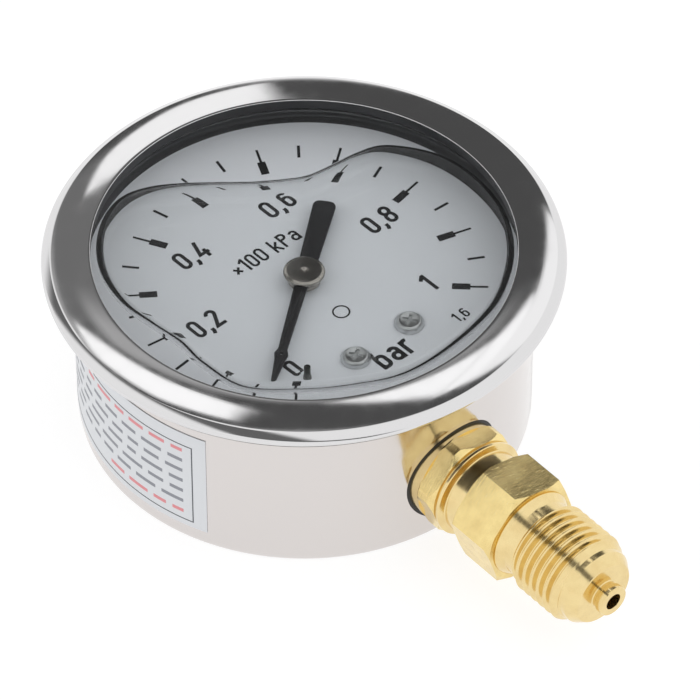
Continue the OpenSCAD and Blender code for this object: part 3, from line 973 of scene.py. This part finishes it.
# ------------------------------------------------------- liquid and bubble
FILM = 0.35  # liquid left on the dial under the bubble
BUBBLE_TOP = WINDOW_LOW - 0.06
BUBBLE_LOW = DIAL_Z + FILM
BUBBLE_MIDDLE = (BUBBLE_TOP + BUBBLE_LOW) / 2
BUBBLE_HALF = (BUBBLE_TOP - BUBBLE_LOW) / 2
BUBBLE_BULGE = 1.2
BUBBLE_LIMIT_R = GASKET_R - 0.1
ROOF_ROWS, WALL_ROWS, FILM_ROWS = 8, 40, 60
bubble_outline = [
    (-20.2, -11.9),
    (-21.5, -5.4),
    (-21.3, -0.2),
    (-21.9, 4.9),
    (-22.3, 10.1),
    (-21.1, 15.5),
    (-18.5, 20.0),
    (-14.8, 23.4),
    (-10.9, 25.0),
    (-7.1, 24.3),
    (-2.7, 21.6),
    (4.0, 16.2),
    (8.0, 13.5),
    (11.1, 11.9),
    (15.1, 11.3),
    (19.3, 10.9),
    (22.8, 9.7),
    (26.2, 5.4),
    (27.6, 1.3),
    (27.7, -4.0),
    (26.5, -9.2),
    (23.7, -14.2),
    (19.5, -18.4),
    (13.5, -21.9),
    (4.6, -23.7),
    (-2.9, -23.5),
    (-8.9, -20.9),
    (-14.5, -17.3),
]


def smooth_loop(points, per_span=12):
    """Closed Catmull-Rom curve through the points."""
    out = []
    count = len(points)
    for i in range(count):
        p0, p1, p2, p3 = (np.array(points[(i + k) % count]) for k in (-1, 0, 1, 2))
        square = 2 * p0 - 5 * p1 + 4 * p2 - p3
        cube = 3 * p1 - p0 - 3 * p2 + p3
        for k in range(per_span):
            t = k / per_span
            out.append(0.5 * (2 * p1 + (p2 - p0) * t + square * t**2 + cube * t**3))
    return out


# drops that cling to what stands up from the dial: (x, y, reach, rise)
screw_x, screw_y = SCREW_R * math.sin(SCREW_SPREAD), -SCREW_R * math.cos(SCREW_SPREAD)
domes = [
    (*on_dial(-screw_x, screw_y), 2.4, 1.15),
    (*on_dial(screw_x, screw_y), 2.4, 1.15),
    (*on_dial(*polar(STOP_R, STOP_ANGLE)), 1.3, 0.9),
    (0, 0, 3.4, 0.25),
]


def film_height(x, y):
    """Height of the liquid film on the dial, raised round the screws, pin and hub."""
    height = BUBBLE_LOW
    for cx, cy, reach, rise in domes:
        d = math.hypot(x - cx, y - cy) / reach
        if d < 1:
            height += rise * (1 - d * d) ** 0.9
    return height


def within_gasket(point):
    """The point, pulled in to the gasket where it lies beyond it."""
    return point * min(1.0, BUBBLE_LIMIT_R / math.hypot(*point))


def bubble_rows():
    """Rings of points from the bubble's roof, down its bulging wall and in over the film."""
    outline = smooth_loop(bubble_outline)
    normals = []
    for i in range(len(outline)):
        tangent = outline[(i + 1) % len(outline)] - outline[i - 1]
        tangent = tangent / np.linalg.norm(tangent)
        normals.append(np.array([-tangent[1], tangent[0]]))
    rows = []
    for k in range(1, ROOF_ROWS + 1):
        ring = [within_gasket(p * k / (ROOF_ROWS + 1)) for p in outline]
        rows.append([(x, y, BUBBLE_TOP) for x, y in ring])
    for k in range(WALL_ROWS + 1):
        t = math.pi * k / WALL_ROWS
        ring = [within_gasket(p + n * BUBBLE_BULGE * math.sin(t)) for p, n in zip(outline, normals)]
        rows.append([(x, y, BUBBLE_MIDDLE + BUBBLE_HALF * math.cos(t)) for x, y in ring])
    for k in range(FILM_ROWS, 0, -1):
        ring = [within_gasket(p * k / (FILM_ROWS + 1)) for p in outline]
        rows.append([(x, y, film_height(x, y)) for x, y in ring])
    return rows


def liquid_body():
    """The liquid from the dial to the window, hollow where the bubble is."""
    builder = bmesh.new()
    shell_r = GASKET_R + 0.05
    shell_low = DIAL_Z - 0.05
    shell_top = WINDOW_LOW - 0.02
    rim = [(0, shell_low), (shell_r, shell_low), (shell_r, shell_top), (0, shell_top)]
    turned(builder, rim, 256, closed=False)
    bmesh.ops.remove_doubles(builder, verts=builder.verts, dist=1e-5)
    bmesh.ops.recalc_face_normals(builder, faces=builder.faces)
    first = len(builder.faces)
    verts = add_grid(builder, bubble_rows())
    top = builder.verts.new((0, 0, BUBBLE_TOP))
    low = builder.verts.new((0, 0, film_height(0, 0)))
    for j in range(len(verts[0])):
        k = (j + 1) % len(verts[0])
        builder.faces.new([verts[0][k], verts[0][j], top])
        builder.faces.new([verts[-1][j], verts[-1][k], low])
    builder.faces.ensure_lookup_table()
    cavity = builder.faces[first:]
    bmesh.ops.recalc_face_normals(builder, faces=cavity)
    bmesh.ops.reverse_faces(builder, faces=cavity)
    bmesh.ops.scale(builder, vec=(MM, MM, MM), verts=builder.verts)
    mesh = bpy.data.meshes.new("liquid_filling")
    builder.to_mesh(mesh)
    builder.free()
    for polygon in mesh.polygons:
        polygon.use_smooth = True
    mesh.set_sharp_from_angle(angle=math.radians(50))
    piece = bpy.data.objects.new("liquid_filling", mesh)
    bpy.context.scene.collection.objects.link(piece)
    return piece


liquid = liquid_body()
dress(liquid, [LIQUID])

# ------------------------------------------------- materials of CAD nodes
cad_looks = {
    "window": WINDOW_GLASS,
    "dial": DIAL_PAINT,
    "bezel_seal": RUBBER,
    "fill_plug": RUBBER,
    "restrictor_screw": MOVEMENT_BRASS,
    "dial_posts": MOVEMENT_BRASS,
    "dial_screws": SCREW_STEEL,
    "stop_pin": PIN_STEEL,
    "back_plate": MOVEMENT_BRASS,
    "front_plate": MOVEMENT_BRASS,
    "plate_pillars": MOVEMENT_BRASS,
    "pillar_screws": SCREW_STEEL,
    "movement_screws": SCREW_STEEL,
    "bourdon_tube": TUBE_BRONZE,
    "tube_tip": MOVEMENT_BRASS,
    "pinion_arbor": SCREW_STEEL,
    "spring_collet": MOVEMENT_BRASS,
    "hairspring": TUBE_BRONZE,
    "spring_stud": MOVEMENT_BRASS,
    "sector_gear": MOVEMENT_BRASS,
    "sector_arbor": SCREW_STEEL,
    "link": MOVEMENT_BRASS,
    "link_pin": SCREW_STEEL,
    "tip_pin": SCREW_STEEL,
}
for node, material in cad_looks.items():
    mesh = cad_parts[node].data
    mesh.materials.clear()
    mesh.materials.append(material)

# ------------------------------------------------------------------- stage
FLOOR_R = 2500.0
FLOOR_Z = -0.02
floor = lathe("floor", [(0, FLOOR_Z), (FLOOR_R, FLOOR_Z)], 96, closed=False)
floor_shader = Shader("floor_white", (0.3, 0.3, 0.3), 0.85)
floor_shader.set("Specular IOR Level", 0.1)
floor_shader.set("Emission Color", (1, 1, 1, 1))
floor_shader.set("Emission Strength", 0.8)
floor.data.materials.append(floor_shader.material)

AZIMUTH = math.radians(-40.52)
ELEVATION = math.radians(45.27)
right = Vector((math.cos(AZIMUTH), math.sin(AZIMUTH), 0))
ahead = Vector((-math.sin(AZIMUTH), math.cos(AZIMUTH), 0))

# ------------------------------------------------------------------- world
world = bpy.data.worlds.new("studio")
bpy.context.scene.world = world
world.use_nodes = True
sky = world.node_tree
background = sky.nodes["Background"]
direction = sky.nodes.new("ShaderNodeTexCoord").outputs["Generated"]

# the way that a level mirror sends the view, and the way up as seen in that mirror
mirror_way = ahead * math.cos(ELEVATION) + Vector((0, 0, math.sin(ELEVATION)))
mirror_up = Vector((0, 0, math.cos(ELEVATION))) - ahead * math.sin(ELEVATION)


def sky_math(operation, *values):
    made = sky.nodes.new("ShaderNodeMath")
    made.operation = operation
    for k, value in enumerate(values):
        if isinstance(value, bpy.types.NodeSocket):
            sky.links.new(value, made.inputs[k])
        else:
            made.inputs[k].default_value = value
    return made.outputs[0]


def along(axis):
    dot = sky.nodes.new("ShaderNodeVectorMath")
    dot.operation = "DOT_PRODUCT"
    dot.inputs[1].default_value = axis
    sky.links.new(direction, dot.inputs[0])
    return dot.outputs["Value"]


def soft_step(value, low, high):
    ramp = sky.nodes.new("ShaderNodeMapRange")
    ramp.interpolation_type = "SMOOTHSTEP"
    ramp.inputs["From Min"].default_value = low
    ramp.inputs["From Max"].default_value = high
    sky.links.new(value, ramp.inputs["Value"])
    return ramp.outputs["Result"]


facing = sky_math("MAXIMUM", along(mirror_way), 0.05)
degrees = 180 / math.pi
sky_x = sky_math("MULTIPLY", sky_math("DIVIDE", along(right), facing), degrees)
sky_y = sky_math("MULTIPLY", sky_math("DIVIDE", along(mirror_up), facing), degrees)


def panel(corners, edge=0.8):
    """1 inside a soft-edged convex panel of the sky, its corners in degrees, clockwise."""
    inside = None
    for k, (x1, y1) in enumerate(corners):
        x0, y0 = corners[k - 1]
        length = math.hypot(x1 - x0, y1 - y0)
        nx, ny = (y1 - y0) / length, (x0 - x1) / length
        reach = sky_math(
            "ADD",
            sky_math("MULTIPLY", sky_math("SUBTRACT", sky_x, x0), nx),
            sky_math("MULTIPLY", sky_math("SUBTRACT", sky_y, y0), ny),
        )
        side = soft_step(reach, -edge, edge)
        inside = side if inside is None else sky_math("MULTIPLY", inside, side)
    return inside


def blend_to(level, share, target):
    """Mixes a brightness towards a target by a share."""
    mix = sky.nodes.new("ShaderNodeMix")
    mix.data_type = "FLOAT"
    sky.links.new(share, mix.inputs["Factor"])
    if isinstance(level, bpy.types.NodeSocket):
        sky.links.new(level, mix.inputs["A"])
    else:
        mix.inputs["A"].default_value = level
    mix.inputs["B"].default_value = target
    return mix.outputs["Result"]


SKY_LEVEL = 1.06
STRIP_LEVEL = 0.16

# lights and dark cards of the studio: brightness, softness of the edge, corners
level = SKY_LEVEL
for target, edge, corners in [
    (0.09, 2.0, [(-19, 26), (19, 26), (19, -27), (-19, -27)]),
    (0.2, 3.0, [(-20, 7), (-3, 7), (-3, -16), (-20, -16)]),
    (0.5, 2.2, [(-11, 9), (0.5, 9), (-0.5, 3), (-13, 3)]),
    (0.42, 2.2, [(0.5, 8), (6, 7.5), (10, 3), (3, 3.5)]),
    (0.12, 4.0, [(-62, 44), (-19, 32), (-19, 12), (-62, 24)]),
    (
        1.22,
        0.6,
        [(-12.3, -7.9), (-6.3, -5.8), (-1.2, -8.3), (-2.9, -25), (-8.5, -21.5), (-12.5, -14)],
    ),
    (0.13, 0.7, [(-17, 6.8), (-8.7, 10), (-4, 11.3), (-4, 9.6), (-8.7, 8.3), (-17, 5)]),
    (0.15, 0.7, [(0, 9.6), (4.2, 9), (9.2, 7.5), (8.2, 6.1), (4.2, 7.5), (0, 8)]),
    (1.36, 0.8, [(-6.4, 22), (-3.7, 15), (-5, 12.3), (-8.7, 10.3), (-18, 6.5), (-18, 12), (-13, 19)]),
    (1.33, 0.8, [(0.6, 9.6), (4, 13.6), (9.8, 17.3), (9.8, 6.8)]),
    (1.33, 0.8, [(9.6, 17.3), (13.5, 14.5), (14.8, 3), (13.2, 2.6), (9.6, 7)]),
    (1.2, 0.8, [(12.3, 16), (21, 10), (21, -9), (16.2, -9)]),
]:
    level = blend_to(level, panel(corners, edge), target)
# dark strip overhead, along the stem, a little to the left of the zenith
across = soft_step(sky_math("ABSOLUTE", along((0.92, 0, 0.39))), 0.15, 0.08)
overhead = soft_step(along((0, 0, 1)), 0.25, 0.45)
level = blend_to(level, sky_math("MULTIPLY", across, overhead), STRIP_LEVEL)
sky.links.new(level, background.inputs["Strength"])
background.inputs["Color"].default_value = (1, 1, 1, 1)

# ------------------------------------------------------------------ camera
DISTANCE = 800.0
VIEW_WIDTH = 93.3333  # width of the picture at the target
SENSOR = 36.0
TARGET = Vector((-5.40, -15.84, 24.9))
forward = ahead * math.cos(ELEVATION) - Vector((0, 0, math.sin(ELEVATION)))
lens = bpy.data.cameras.new("camera")
lens.lens = SENSOR * DISTANCE / VIEW_WIDTH
lens.sensor_width = SENSOR
lens.clip_start = 0.05
lens.clip_end = 10
camera = bpy.data.objects.new("camera", lens)
bpy.context.scene.collection.objects.link(camera)
camera.location = (TARGET - forward * DISTANCE) * MM
camera.rotation_euler = forward.to_track_quat("-Z", "Y").to_euler()
bpy.context.scene.camera = camera
bpy.context.scene.view_settings.view_transform = "Standard"
